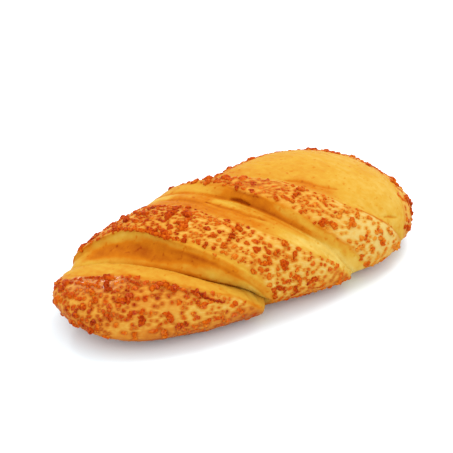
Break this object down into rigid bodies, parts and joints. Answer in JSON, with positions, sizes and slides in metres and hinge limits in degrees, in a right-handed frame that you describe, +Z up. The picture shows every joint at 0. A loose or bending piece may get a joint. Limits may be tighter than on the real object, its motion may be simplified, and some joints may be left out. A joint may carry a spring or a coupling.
{
  "type": "cheese bread loaf",
  "caption": "Whole oval bread loaf with slanting slashes that opened in baking, its crust covered in baked cheese crumbs, lying on its flat underside.",
  "frame": {"origin": "middle of the flat underside, under the centre of the loaf's box", "axes": "+X along the loaf to its higher, wider end, +Y across it, +Z up"},
  "size_m": [0.2398, 0.1168, 0.0611],
  "materials": {
    "crust": "golden baked bread crust, bare and pale yellow in the slashes, with orange-brown baked cheese crumbs"
  },
  "bodies": {
    "root": {"loaf": "crust"}
  },
  "joints": []
}
